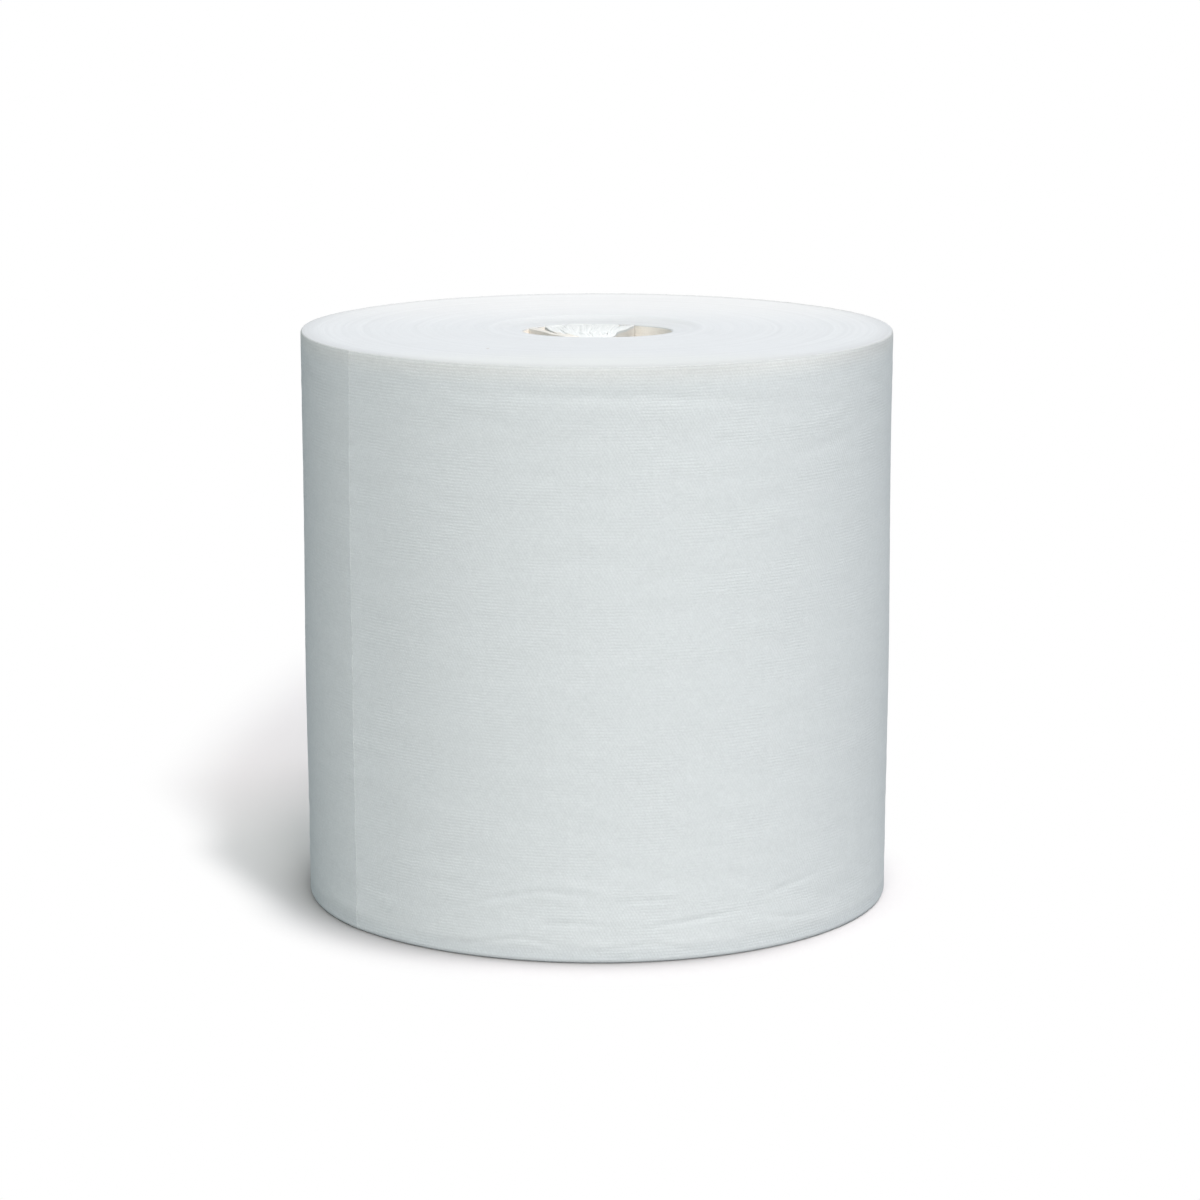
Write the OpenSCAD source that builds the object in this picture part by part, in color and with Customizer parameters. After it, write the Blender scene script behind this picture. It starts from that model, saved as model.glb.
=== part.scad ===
// Roll of cleaning wipers: one long perforated web, wound without a core.
// The origin is on the surface that the roll stands on, under the middle of the roll.

/* [Roll] */
// Width of the web, which is the height of the standing roll
roll_h = 317.5; // [200:0.5:420]
// Diameter over the last turn
roll_d = 327; // [240:1:420]
// Diameter of the open eye, where the web is pulled out
eye_d = 83; // [70:1:120]
// Rounding of the upper rim
top_round = 1.5; // [0.5:0.25:4]
// Rounding of the lower rim, pressed by the weight of the roll
base_round = 4; // [1:0.5:8]
// Bevel of the lower lip of the eye
lip_bevel = 0.8; // [0.4:0.1:3]

/* [Web] */
// Thickness of the web at its cut outer end
outer_end_t = 0.8; // [0.3:0.1:2]
// Direction of the outer end, seen from above, from the right-hand side
outer_end_angle = 216.5; // [0:0.5:359.5]

/* [Turns] */
// Distance between the turns that show on the ends of the roll
turn_pitch = 12; // [6:0.5:16]
// Width of the groove between two turns
groove_w = 1.6; // [0.8:0.1:3]
// Depth of the groove between two turns
groove_d = 0.7; // [0.3:0.1:1.5]
// Plain margin between the grooves and the rims
rim_margin = 5; // [4:0.5:10]

/* [Sunken turns] */
// Width of the ring of inner turns that have sunk towards the eye
dish_w = 17.5; // [10:0.5:25]
// How far those turns have sunk at the eye
dish_depth = 1.8; // [0.5:0.1:4]
// How far the sunken turns lean down towards the back, in degrees
dish_lean = 2; // [0:0.25:4]

/* [Inner end] */
// Thickness of the gathered web by the front of the eye, where it is pinched
front_t = 1.9; // [1.2:0.1:2.4]
// Thickness of the gathered web by the back of the eye, where it fans out
back_t = 4.8; // [3:0.1:5.4]
// Width of the slit inside a fold by the front of the eye
front_fold = 1.6; // [1:0.1:2.4]
// Width of the slit inside a fold by the back of the eye
back_fold = 2.4; // [1.6:0.1:3.2]
// Gap between two neighbouring folds by the front of the eye
front_gap = 1.2; // [0.6:0.1:2]
// Gap between two neighbouring folds by the back of the eye
back_gap = 2.4; // [1.2:0.1:3.2]
// Gap between a fold and the wall of the eye
fold_gap = 2; // [1:0.2:3]
// Gap between the wall of the eye and the web that comes off it
root_gap = 0.3; // [0.2:0.1:0.6]
// Depth of the folds below the top of the roll, at the front of the eye
fold_drop = 1; // [0.5:0.25:4]
// Height of the folds above the surface that the roll stands on
fold_lift = 2; // [1:0.5:10]

/* [Hidden] */

roll_r = roll_d / 2;
eye_r = eye_d / 2;
dish_r = eye_r + dish_w;
// Clear overlap of a cutting shape past the face that it cuts
over = 1;
// How far the gathered web would run on past the wall of the eye, where it is cut off at root_gap
root = 2;
round_fn = 96;
// Directions of the middle of the folds at the front of the eye, and at the back
front_angle = 259.5;
back_angle = 108;
// Steps round each fold
fold_steps = 8;

// One half of a disc-like solid, swept from the line at angle to the line opposite it
module half_turned(angle) {
    rotate([0, 0, angle]) rotate_extrude(angle = 180, $fn = round_fn) children();
}

// Section of the roll from its axis out to radius r, with rounded rims
module roll_section(r) {
    difference() {
        square([r, roll_h]);
        translate([r - top_round, roll_h - top_round]) difference() {
            square(top_round + over);
            circle(r = top_round, $fn = round_fn);
        }
        translate([r - base_round, base_round]) difference() {
            translate([0, -base_round - over]) square(base_round + over);
            circle(r = base_round, $fn = round_fn);
        }
    }
}

// The wound web: two half turns whose centres lie half a web apart, so the last turn ends in a step
module wound_web() {
    half_turned(outer_end_angle + 180) roll_section(roll_r);
    rotate([0, 0, outer_end_angle]) translate([-outer_end_t / 2, 0, 0])
        half_turned(0) roll_section(roll_r - outer_end_t / 2);
}

// Section of a groove whose bottom lies at radius r, below z
module groove_section(r, z) {
    flare = groove_w / 2 * (groove_d + over) / groove_d;
    polygon([[r, z - groove_d], [r + flare, z + over], [r - flare, z + over]]);
}

// A spiral groove in a level face at height z, from radius r_in outwards, made of half turns about two centres
module spiral_groove(r_in, z) {
    turns = floor((roll_r - rim_margin - r_in) / turn_pitch);
    rotate([0, 0, outer_end_angle]) for (turn = [1 : turns]) {
        r = r_in + turn * turn_pitch;
        half_turned(180) groove_section(r, z);
        translate([-turn_pitch / 2, 0, 0]) half_turned(0) groove_section(r - turn_pitch / 2, z);
    }
}

// The sunken turns round the eye, as a shallow cone that leans down towards the back
module dish() {
    slope = dish_depth / dish_w;
    floor_r = eye_r / 2;
    floor_z = -slope * (dish_r - floor_r);
    groove_r = eye_r + dish_w / 2;
    translate([0, 0, roll_h]) rotate([-dish_lean, 0, 0]) {
        translate([0, 0, floor_z])
            cylinder(h = over - floor_z, r1 = floor_r, r2 = dish_r + over / slope, $fn = round_fn);
        rotate_extrude($fn = round_fn) groove_section(groove_r, -slope * (dish_r - groove_r));
    }
}

// The eye, open from end to end, with a bevelled lower lip
module eye() {
    translate([0, 0, -over]) cylinder(h = roll_h + 2 * over, r = eye_r, $fn = round_fn);
    translate([0, 0, -over])
        cylinder(h = lip_bevel + over, r1 = eye_r + lip_bevel + over, r2 = eye_r, $fn = round_fn);
}

function at(angle, r) = r * [cos(angle), sin(angle)];
function unit(v) = v / norm(v);
function left_of(v) = [-v[1], v[0]];

// Distance from the axis to the middle of a fold with this slit inside it, in web of thickness t
function fold_place(slit, t) = eye_r - fold_gap - slit / 2 - t;
// Turn about the axis from one such fold to the next, with this gap between them
function fold_step(slit, t, gap) = 2 * asin((slit + 2 * t + gap) / 2 / fold_place(slit, t));

front_place = fold_place(front_fold, front_t);
front_step = fold_step(front_fold, front_t, front_gap);
back_place = fold_place(back_fold, back_t);
back_step = fold_step(back_fold, back_t, back_gap);
// Turn from the outermost fold at the back to the root of the web, and to its free end
end_step = asin((back_fold / 2 + back_gap + back_t * 3 / 2) / back_place);

// A stop of the web is [centre, radius, turn, thickness]: turn is 1 where it goes round to the left, or -1
function front(place) =
    [at(front_angle + place * front_step, front_place), (front_fold + front_t) / 2, 1, front_t];
function back(place) =
    [at(back_angle - place * back_step, back_place), (back_fold + back_t) / 2, -1, back_t];
// An end of the web is a stop of no radius
function end(angle, r) = [at(angle, r), 0, 1, back_t];
stops = [
    end(back_angle + back_step + end_step, eye_r + root),
    front(-1.5), back(-1), front(-0.5), back(0), front(0.5), back(1), front(1.5),
    end(back_angle - back_step - end_step, eye_r - fold_gap - back_t / 2)
];
last = len(stops) - 1;

// Direction of the straight run from one stop to the next
function run_dir(a, b) =
    let (d = b[0] - a[0], off = a[2] * a[1] - b[2] * b[1], s = off / norm(d), c = sqrt(1 - s * s), u = unit(d))
    c * u - s * left_of(u);
runs = [for (i = [0 : last - 1]) run_dir(stops[i], stops[i + 1])];

// Outline of one side of the gathered web: side is 1 on the left of its middle line, and -1 on the right
function web_side(side) = [
    stops[0][0] + side * stops[0][3] / 2 * left_of(runs[0]),
    for (i = [1 : last - 1])
        let (f = stops[i], from = atan2(runs[i - 1][1], runs[i - 1][0]), to = atan2(runs[i][1], runs[i][0]),
             sweep = f[2] * ((f[2] * (to - from) + 720) % 360))
        for (k = [0 : fold_steps])
            let (heading = from + sweep * k / fold_steps)
            f[0] + (f[2] * f[1] - side * f[3] / 2) * [sin(heading), -cos(heading)],
    stops[last][0] + side * stops[last][3] / 2 * left_of(runs[last - 1])
];
function backwards(list) = [for (i = [len(list) - 1 : -1 : 0]) list[i]];

// The loose inner end of the web, gathered in the eye, with its upper edge leaning as the sunken turns do.
// It comes off the wall of the eye, and is a node of its own so that the eye stays open round it.
module inner_end() {
    color("#E2E8E8") difference() {
        translate([0, 0, fold_lift]) intersection() {
            linear_extrude(height = roll_h - fold_lift) polygon(concat(web_side(1), backwards(web_side(-1))));
            cylinder(h = roll_h, r = eye_r - root_gap, $fn = round_fn);
        }
        translate([0, -eye_r, roll_h - fold_drop]) rotate([-dish_lean, 0, 0])
            translate([-eye_d, -over, 0]) cube([2 * eye_d, 3 * eye_d, 2 * eye_d]);
    }
}

// The wound turns, all in one solid
module wiper_roll() {
    color("#E2E8E8") difference() {
        wound_web();
        eye();
        dish();
        spiral_groove(dish_r, roll_h);
        mirror([0, 0, 1]) spiral_groove(eye_r + rim_margin, 0);
    }
}

wiper_roll();
inner_end();
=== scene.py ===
"""A standing roll of nonwoven cleaning wipers, wound without a core, with its inner end gathered in the eye.

All lengths are in metres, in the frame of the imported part: +Z up, the roll's axis on Z, its foot at height 0.
Directions round the roll are angles from +X, anticlockwise as seen from above.
"""

import math
from typing import NamedTuple

import bpy
import numpy as np
from bpy.props import FloatProperty, FloatVectorProperty, IntProperty, PointerProperty
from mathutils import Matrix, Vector


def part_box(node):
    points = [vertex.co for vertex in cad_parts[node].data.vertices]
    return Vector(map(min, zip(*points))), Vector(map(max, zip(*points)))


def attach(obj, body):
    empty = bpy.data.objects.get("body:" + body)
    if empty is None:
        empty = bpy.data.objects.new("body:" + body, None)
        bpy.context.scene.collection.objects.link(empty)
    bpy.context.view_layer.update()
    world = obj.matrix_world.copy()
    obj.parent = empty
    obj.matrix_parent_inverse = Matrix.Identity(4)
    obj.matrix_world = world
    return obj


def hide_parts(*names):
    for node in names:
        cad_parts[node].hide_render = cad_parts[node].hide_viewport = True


bl_info = {
    "name": "Roll of cleaning wipers",
    "version": (1, 0, 0),
    "blender": (4, 5, 0),
    "location": "View3D > Sidebar > Wiper roll",
    "description": "Makes a standing coreless roll of nonwoven cleaning wipers",
    "category": "Add Mesh",
}

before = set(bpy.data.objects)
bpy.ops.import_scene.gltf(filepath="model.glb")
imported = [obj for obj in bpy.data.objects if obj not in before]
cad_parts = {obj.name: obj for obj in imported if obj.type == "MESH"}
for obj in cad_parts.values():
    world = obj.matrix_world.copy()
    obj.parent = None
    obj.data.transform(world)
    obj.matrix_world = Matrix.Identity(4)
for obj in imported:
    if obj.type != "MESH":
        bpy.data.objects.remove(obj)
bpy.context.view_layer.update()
TURNS_NODE = "wiper_roll"
END_NODE = "inner_end"
BODY = "root"
LOW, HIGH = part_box(TURNS_NODE)

MM = 0.001
FULL_TURN = 2 * math.pi
FRONT = math.radians(270)


class RollSizes(bpy.types.PropertyGroup):
    """Sizes of the wound roll."""

    radius: FloatProperty(
        name="Radius", description="Outer radius, over the last turn of the web",
        default=-LOW.x, unit="LENGTH")
    height: FloatProperty(
        name="Height", description="Width of the web, which is the height of the standing roll",
        default=HIGH.z, unit="LENGTH")
    eye_radius: FloatProperty(
        name="Eye radius", description="Radius of the open eye in the middle of the roll",
        default=41.5 * MM, unit="LENGTH")
    lap: FloatProperty(
        name="Lap", description="Thickness of the slack last turn at the outer end of the web",
        default=0.8 * MM, unit="LENGTH")
    end_angle: FloatProperty(
        name="Outer end", description="Direction of the outer end of the web, seen from above",
        default=math.radians(216.5), subtype="ANGLE")
    foot_round: FloatProperty(
        name="Foot rounding", description="Rounding of the lower rim, pressed by the weight of the roll",
        default=2.6 * MM, unit="LENGTH")
    top_round: FloatProperty(
        name="Rim rounding", description="Rounding of the upper rim",
        default=1.6 * MM, unit="LENGTH")
    turn_pitch: FloatProperty(
        name="Turn pitch", description="Distance between the slack turns that show on the ends of the roll",
        default=12 * MM, unit="LENGTH")
    groove_depth: FloatProperty(
        name="Groove depth", description="Depth of the soft groove between two such turns",
        default=0.22 * MM, unit="LENGTH")
    dish_width: FloatProperty(
        name="Sunken width", description="Width of the ring of inner turns that have sunk towards the eye",
        default=17.5 * MM, unit="LENGTH")
    dish_depth: FloatProperty(
        name="Sunken depth", description="How far those turns have sunk at the eye",
        default=1.8 * MM, unit="LENGTH")
    dish_lean: FloatProperty(
        name="Sunken lean", description="How far the sunken turns lean down towards the back",
        default=math.radians(2), subtype="ANGLE")
    long_ripple: FloatProperty(
        name="Long ripples", description="Height of the longer ripples of the last turn",
        default=0.036 * MM, unit="LENGTH")
    short_ripple: FloatProperty(
        name="Short ripples", description="Height of the shorter ripples of the last turn",
        default=0.022 * MM, unit="LENGTH")
    sag: FloatProperty(
        name="Sag", description="How far the whole roll is out of round",
        default=0.16 * MM, unit="LENGTH")
    rim_wave: FloatProperty(
        name="Rim wave", description="How far the slack upper rim of the last turn waves in and out",
        default=0.22 * MM, unit="LENGTH")
    foot_press: FloatProperty(
        name="Foot press", description="How much narrower the roll is at its foot",
        default=0.9 * MM, unit="LENGTH")
    end_swell: FloatProperty(
        name="Swell at the end", description="How far the turns stand out along the outer end of the web",
        default=0.80 * MM, unit="LENGTH")
    end_lift: FloatProperty(
        name="Lift at the end", description="How much further the outer end stands out in places",
        default=0.30 * MM, unit="LENGTH")
    end_step: FloatProperty(
        name="Step at the end", description="Step down from the outer end of the web to the turn under it",
        default=0.12 * MM, unit="LENGTH")


class GatherSizes(bpy.types.PropertyGroup):
    """Sizes of the loose inner end of the web, gathered in the eye."""

    front_thickness: FloatProperty(
        name="Front thickness", description="Thickness of the gathered web where it is pinched",
        default=1.9 * MM, unit="LENGTH")
    back_thickness: FloatProperty(
        name="Back thickness", description="Thickness of the gathered web where it fans out",
        default=4.8 * MM, unit="LENGTH")
    front_slit: FloatProperty(
        name="Front slit", description="Width of the slit inside a fold by the front of the eye",
        default=1.6 * MM, unit="LENGTH")
    back_slit: FloatProperty(
        name="Back slit", description="Width of the slit inside a fold by the back of the eye",
        default=2.4 * MM, unit="LENGTH")
    front_gap: FloatProperty(
        name="Front gap", description="Gap between two folds by the front of the eye",
        default=1.2 * MM, unit="LENGTH")
    back_gap: FloatProperty(
        name="Back gap", description="Gap between two folds by the back of the eye",
        default=2.4 * MM, unit="LENGTH")
    wall_gap: FloatProperty(
        name="Wall gap", description="Gap between a fold and the wall of the eye",
        default=2 * MM, unit="LENGTH")
    drop: FloatProperty(
        name="Drop", description="Depth of the folds below the top of the roll, at the front of the eye",
        default=1 * MM, unit="LENGTH")
    lift: FloatProperty(
        name="Lift", description="Height of the folds above the surface that the roll stands on",
        default=2 * MM, unit="LENGTH")
    plies: IntProperty(
        name="Plies", description="Number of plies of web that lie in the gathered end",
        default=4, min=2, max=6)
    fluff: FloatProperty(
        name="Fluff", description="Extra thickness of the gathered web at its upper edge, as a share",
        default=0.62)
    sway: FloatProperty(
        name="Sway", description="How far the gathered web sways sideways at its upper edge",
        default=1 * MM, unit="LENGTH")


class WebFinish(bpy.types.PropertyGroup):
    """Colours of the web, some of them painted light and shade, and the scale of its surface."""

    face_color: FloatVectorProperty(
        name="Face", description="Colour of the face of the nonwoven web",
        default=(0.780, 0.806, 0.806), subtype="COLOR", min=0, max=1)
    edge_color: FloatVectorProperty(
        name="Edges", description="Colour of the wound edges on the ends of the roll",
        default=(0.784, 0.791, 0.799), subtype="COLOR", min=0, max=1)
    # Painted light: the back of the upper end is painted whiter, where more light falls on it
    back_painted_light: FloatVectorProperty(
        name="Back of the end", description="Whiter colour of the wound edges at the back of the upper end",
        default=(0.850, 0.843, 0.836), subtype="COLOR", min=0, max=1)
    front_color: FloatVectorProperty(
        name="Front of the end", description="Warmer colour of the wound edges at the front of the upper end",
        default=(0.806, 0.812, 0.796), subtype="COLOR", min=0, max=1)
    # Painted light: the face is painted lighter and warmer just under the upper rim
    rim_color: FloatVectorProperty(
        name="Upper rim", description="Warmer colour of the web's face by the upper rim",
        default=(0.846, 0.848, 0.826), subtype="COLOR", min=0, max=1)
    # Painted shade: the face is painted cooler by the foot, for the cool light that falls there
    foot_painted_shade: FloatVectorProperty(
        name="Foot", description="Cooler colour of the web's face by the foot",
        default=(0.765, 0.806, 0.822), subtype="COLOR", min=0, max=1)
    speck_color: FloatVectorProperty(
        name="Speck", description="Colour of the small speck of dirt on the upper end",
        default=(0.50, 0.42, 0.36), subtype="COLOR", min=0, max=1)
    # Painted shade: the sunken turns behind the eye are painted darker and cooler
    ring_painted_shade: FloatVectorProperty(
        name="Sunken ring", description="Cooler colour of the sunken turns behind the eye",
        default=(0.724, 0.731, 0.730), subtype="COLOR", min=0, max=1)
    gather_color: FloatVectorProperty(
        name="Gathered end", description="Colour of the upper edge of the gathered web",
        default=(0.872, 0.878, 0.862), subtype="COLOR", min=0, max=1)
    # Painted light: the web deep in the eye is painted creamy and bright, for the warm light bounced about and
    # passed through it
    depth_painted_light: FloatVectorProperty(
        name="Depth", description="Creamier colour of the web deep in the eye",
        default=(0.985, 0.940, 0.875), subtype="COLOR", min=0, max=1)
    row_pitch: FloatProperty(
        name="Row pitch", description="Distance between two rows of the embossed pattern",
        default=1.7 * MM, unit="LENGTH")
    dimple_pitch: FloatProperty(
        name="Dimple pitch", description="Distance between two dimples of a row",
        default=1.9 * MM, unit="LENGTH")


class StageSettings(bpy.types.PropertyGroup):
    """Floor, lamps and camera."""

    camera_distance: FloatProperty(
        name="Camera distance", description="Level distance from the roll's axis to the camera",
        default=2.1453, unit="LENGTH")
    camera_shift: FloatProperty(
        name="Camera shift", description="Distance of the camera to the right of the roll's axis",
        default=1.4 * MM, unit="LENGTH")
    camera_height: FloatProperty(
        name="Camera height", description="Height of the camera above the floor",
        default=0.5858, unit="LENGTH")
    camera_pitch: FloatProperty(
        name="Camera pitch", description="Angle by which the camera looks down",
        default=math.radians(11.127), subtype="ANGLE")
    lens: FloatProperty(
        name="Lens", description="Focal length of the camera",
        default=117.13, unit="CAMERA")


def smooth_step(value, low, high):
    """0 below low and 1 above high, with a smooth rise between them."""
    t = np.clip((value - low) / (high - low), 0, 1)
    return t * t * (3 - 2 * t)


def unit(v):
    return v / np.hypot(*v)


def left_of(v):
    return np.array([-v[1], v[0]])


def place(angle, radius):
    """Point in plan in this direction at this radius."""
    return radius * np.array([math.cos(angle), math.sin(angle)])


def angle_between(angle, middle):
    """Signed turn from the direction middle to angle, within half a turn either way."""
    return (angle - middle + math.pi) % FULL_TURN - math.pi


class Ripples:
    """A smooth random field round the roll: a sum of seeded waves that closes on itself after a turn."""

    def __init__(self, seed, waves, rounds, lengths):
        rng = np.random.default_rng(seed)
        self.rounds = np.round(rng.uniform(*rounds, waves) * rng.choice([-1, 1], waves))
        self.rises = FULL_TURN / rng.uniform(*lengths, waves)
        self.phases = rng.uniform(0, FULL_TURN, waves)
        self.weight = math.sqrt(2 / waves)

    def at(self, angle, height):
        """The field at these directions and heights, with a spread of about 1."""
        total = np.zeros(np.broadcast(angle, height).shape)
        for rounds, rise, phase in zip(self.rounds, self.rises, self.phases):
            total += np.cos(rounds * angle + rise * height + phase)
        return total * self.weight


# Creases that the pressed foot and the slack rim of the last turn show. Each is the angle from the front
# in degrees, to the right, and the height in millimetres, of the points that it runs through, then its half
# width in millimetres and its depth. A negative depth is a ridge.
CREASES = [
    ([(-29, 24), (-21.4, 32), (-11.3, 38.5), (-0.9, 37.2)], 2.0, 0.17),
    ([(3, 34), (10, 33.5), (16, 34.5)], 1.8, 0.10),
    ([(-12, 20), (-4.2, 22), (3.5, 19.7)], 1.9, 0.13),
    ([(8, 18.8), (18.7, 21.8), (29, 24.6)], 1.8, 0.17),
    ([(31, 21), (38.2, 16.3), (46, 13.2)], 1.8, 0.13),
    ([(31, 29), (38.6, 33.2), (48, 36.5)], 2.0, 0.13),
    ([(-31, 6), (-23.9, 8), (-14.4, 12.9), (-8.9, 10), (-3.9, 7)], 1.7, 0.16),
    ([(-1, 6.5), (5, 9), (11, 10.3), (18.7, 5)], 1.7, 0.14),
    ([(42.7, 279.9), (50.6, 284.4), (57.5, 289.7)], 2.2, -0.16),
    ([(36, 267), (44.1, 268.5), (55.8, 273.1), (64, 278)], 2.6, 0.13),
    ([(20, 259), (30, 256), (41, 258)], 3.0, 0.08),
    ([(-26.5, 301.5), (-9.2, 302.0), (8, 301.5), (20, 299.5), (33, 294.6)], 3.4, 0.18),
    ([(-36, 250), (-31, 244), (-26, 239)], 3.2, 0.08),
    ([(92, 30), (104, 38), (121, 35)], 2.0, 0.15),
    ([(100, 16), (115, 20), (127, 17)], 1.8, 0.14),
    ([(84, 290), (99, 283), (118, 286)], 2.6, 0.14),
    ([(150, 24), (163, 33), (181, 37), (196, 31)], 2.1, 0.16),
    ([(172, 14), (186, 19), (203, 15)], 1.8, 0.13),
    ([(160, 296), (181, 302), (205, 299)], 2.6, 0.16),
    ([(222, 19), (236, 27), (254, 24)], 1.9, 0.15),
    ([(226, 276), (240, 284), (252, 281)], 2.8, 0.12),
    ([(262, 34), (273, 28), (288, 30)], 2.0, 0.14),
]
# Depth of a crease whose listed depth is 1
CREASE_UNIT = 1.9 * MM
# The low shoulders beside a crease: width as a multiple of its own, and height as a share of its depth
SHOULDER_WIDTH, SHOULDER_HEIGHT = 2.6, 0.45


def crease_depth(angle, height, radius):
    """Depth of the creases at these directions and heights, in metres."""
    angle, height = np.broadcast_arrays(angle, height)
    depth = np.zeros(angle.shape)
    for points, half_width, deep in CREASES:
        middle = FRONT + math.radians(sum(p[0] for p in points) / len(points))
        along = angle_between(angle, middle) * radius
        near = np.full(angle.shape, np.inf)
        share = np.zeros(angle.shape)
        line = [((FRONT + math.radians(a) - middle) * radius, z * MM) for a, z in points]
        for i, ((x0, z0), (x1, z1)) in enumerate(zip(line, line[1:])):
            run = (x1 - x0) ** 2 + (z1 - z0) ** 2
            t = np.clip(((along - x0) * (x1 - x0) + (height - z0) * (z1 - z0)) / run, 0, 1)
            gap = np.hypot(along - x0 - t * (x1 - x0), height - z0 - t * (z1 - z0))
            closer = gap < near
            near = np.where(closer, gap, near)
            share = np.where(closer, (i + t) / (len(line) - 1), share)
        fade = np.sin(np.pi * np.clip(share, 0.06, 0.94)) ** 0.7
        valley = np.exp(-((near / (half_width * MM)) ** 2))
        shoulder = np.exp(-((near / (SHOULDER_WIDTH * half_width * MM)) ** 2))
        depth += CREASE_UNIT * deep * fade * (valley - SHOULDER_HEIGHT * shoulder)
    return depth


# Heights in millimetres at which the outer end stands a little further off the turn under it
END_LIFTS = (261, 238, 215, 204, 174, 147, 123, 106, 86, 59, 12)


class Web:
    """Shape of the wound web: where its last turn, its ends and its eye lie."""

    def __init__(self, sizes):
        self.sizes = sizes
        self.long_ripples = Ripples(11, 26, (2, 15), (14 * MM, 46 * MM))
        self.short_ripples = Ripples(12, 34, (9, 34), (8 * MM, 17 * MM))
        self.sway = Ripples(13, 8, (1, 5), (170 * MM, 420 * MM))
        self.slack = Ripples(15, 10, (2, 9), (180 * MM, 420 * MM))

    def turn(self, angle):
        """Turn from the outer end of the web, anticlockwise, from 0 to 1."""
        return ((angle - self.sizes.end_angle) % FULL_TURN) / FULL_TURN

    def last_turn_radius(self, turn):
        """Radius of the last turn's outer face, which grows by one lap in a turn."""
        return self.sizes.radius - self.sizes.lap * (1 - turn)

    def relief(self, turn, height):
        """How far the outer face stands out from the plain spiral."""
        sizes = self.sizes
        angle = sizes.end_angle + turn * FULL_TURN
        swell = sizes.long_ripple * self.long_ripples.at(angle, height)
        swell = (swell + sizes.short_ripple * self.short_ripples.at(angle, height)) * self.liveliness(height)
        sag = sizes.sag * self.sway.at(angle, height)
        rim = sizes.rim_wave * np.exp(-(sizes.height - height) / (5 * MM)) * self.slack.at(angle, height)
        pressed = sizes.foot_press * (1 - smooth_step(height, 0, 150 * MM))
        return swell + sag + rim - pressed - crease_depth(angle, height, sizes.radius)

    def liveliness(self, height):
        """Share of the ripples at these heights: none at the very foot, and most just above it."""
        at_foot = smooth_step(height, 0, 5 * MM)
        at_rim = smooth_step(height, self.sizes.height - 9 * MM, self.sizes.height)
        low = 1 - smooth_step(height, 25 * MM, 120 * MM)
        high = smooth_step(height, 220 * MM, 290 * MM)
        return at_foot * (1 - 0.6 * at_rim) * (0.62 + 0.5 * low + 0.3 * high)

    def end_ridge(self, turn, height):
        """How far the turns beside the outer end stand out, so that the web ends in a low soft step."""
        right = turn * FULL_TURN * self.sizes.radius
        left = (1 - turn) * FULL_TURN * self.sizes.radius
        lifts = sum(np.exp(-(((height - z * MM) / (3.5 * MM)) ** 2)) for z in END_LIFTS)
        lifted = self.sizes.end_lift * lifts
        swollen = self.sizes.end_swell
        end = swollen + lifted - self.sizes.lap + self.sizes.end_step
        beside = swollen * np.exp(-right / (20 * MM)) + lifted * np.exp(-right / (8 * MM))
        return beside + end * np.exp(-left / (15 * MM))

    def top(self, radius, angle):
        """Height of the upper end, with its sunken ring and its turns."""
        sizes = self.sizes
        ring_r = sizes.eye_radius + sizes.dish_width
        inside = np.clip((ring_r - radius) / sizes.dish_width, 0, 1)
        lean = radius * np.sin(angle) * math.tan(sizes.dish_lean)
        sunk = smooth_step(inside, 0, 0.35) * (sizes.dish_depth * inside + lean)
        bead = 0.07 * MM * np.exp(-(((radius - ring_r - 1 * MM) / (1.6 * MM)) ** 2))
        bead *= smooth_step(np.sin(angle), -0.1, 0.5)
        return sizes.height - np.maximum(sunk, 0) + bead - self.turn_grooves(radius, angle, ring_r)

    def turn_grooves(self, radius, angle, start):
        """Depth of the soft spiral grooves and bands of the turns, outwards from the radius start."""
        sizes = self.sizes
        phase = (radius - start) / sizes.turn_pitch - self.turn(angle)
        apart = (phase - np.round(phase)) * sizes.turn_pitch
        groove = sizes.groove_depth * np.exp(-((apart / (1.3 * MM)) ** 2))
        bands = sum(
            0.035 * MM * np.cos(FULL_TURN * count * phase + 1.7 * count) for count in (2, 3, 5))
        shown = 0.35 + 0.65 * smooth_step(radius, sizes.eye_radius, start)
        return (groove + bands + 0.105 * MM) * shown


def join_grid(rows, columns, first=0, closed=False):
    """Quads of a grid of points that is stored row by row; closed joins the last column to the first."""
    spans = columns if closed else columns - 1
    row, column = np.meshgrid(np.arange(rows - 1), np.arange(spans), indexing="ij")
    after = (column + 1) % columns
    below, above = row * columns, (row + 1) * columns
    quads = np.stack([below + column, below + after, above + after, above + column], axis=-1)
    return first + quads.reshape(-1, 4)


def make_object(name, points, faces, materials=(), slots=None, sharp=math.radians(40)):
    """A mesh object of these points and faces, smooth shaded apart from its sharp edges."""
    mesh = bpy.data.meshes.new(name)
    mesh.from_pydata([tuple(p) for p in points], [], [tuple(f) for f in faces])
    for material in materials:
        mesh.materials.append(material)
    if slots is not None:
        mesh.polygons.foreach_set("material_index", slots)
    mesh.polygons.foreach_set("use_smooth", [True] * len(mesh.polygons))
    mesh.set_sharp_from_angle(angle=sharp)
    if mesh.validate():
        raise RuntimeError(f"{name} has faces that can't be built")
    made = bpy.data.objects.new(name, mesh)
    bpy.context.scene.collection.objects.link(made)
    return made


def dress(piece, node):
    """The piece rides on the roll's body and stands for the solid node."""
    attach(piece, BODY)
    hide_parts(node)


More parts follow.
